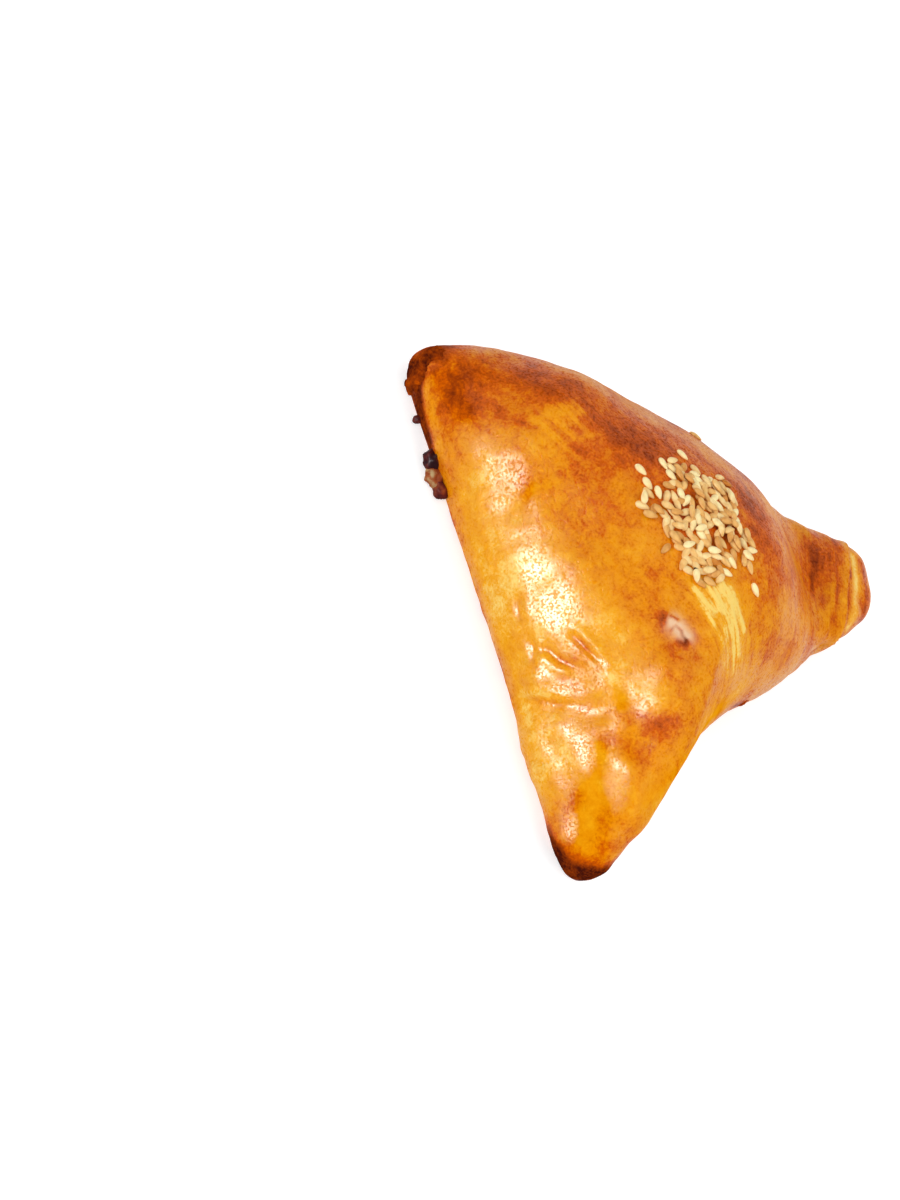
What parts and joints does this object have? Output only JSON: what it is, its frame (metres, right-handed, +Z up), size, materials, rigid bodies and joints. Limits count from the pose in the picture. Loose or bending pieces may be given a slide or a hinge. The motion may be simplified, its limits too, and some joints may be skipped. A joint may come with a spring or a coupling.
{
  "type": "samsa",
  "caption": "Baked triangular pasty with a domed filling, blunt browned tips, one rolled tip, a creased golden egg-washed crust and a sprinkle of sesame seeds on top.",
  "frame": {"origin": "middle of the bounding box of the whole pasty, at the level of the flat base it rests on", "axes": "+X along the straight long side, from the browned blunt tip toward the narrow tip; +Y from that side toward the rolled tip; +Z up, out of the flat base toward the domed top with the seeds"},
  "size_m": [0.111, 0.1092, 0.0352],
  "materials": {
    "baked_crust": "egg-washed golden brown crust, glossy in patches, browned at the tips and foot"
  },
  "bodies": {
    "root": {"samsa": "baked_crust"}
  },
  "joints": []
}
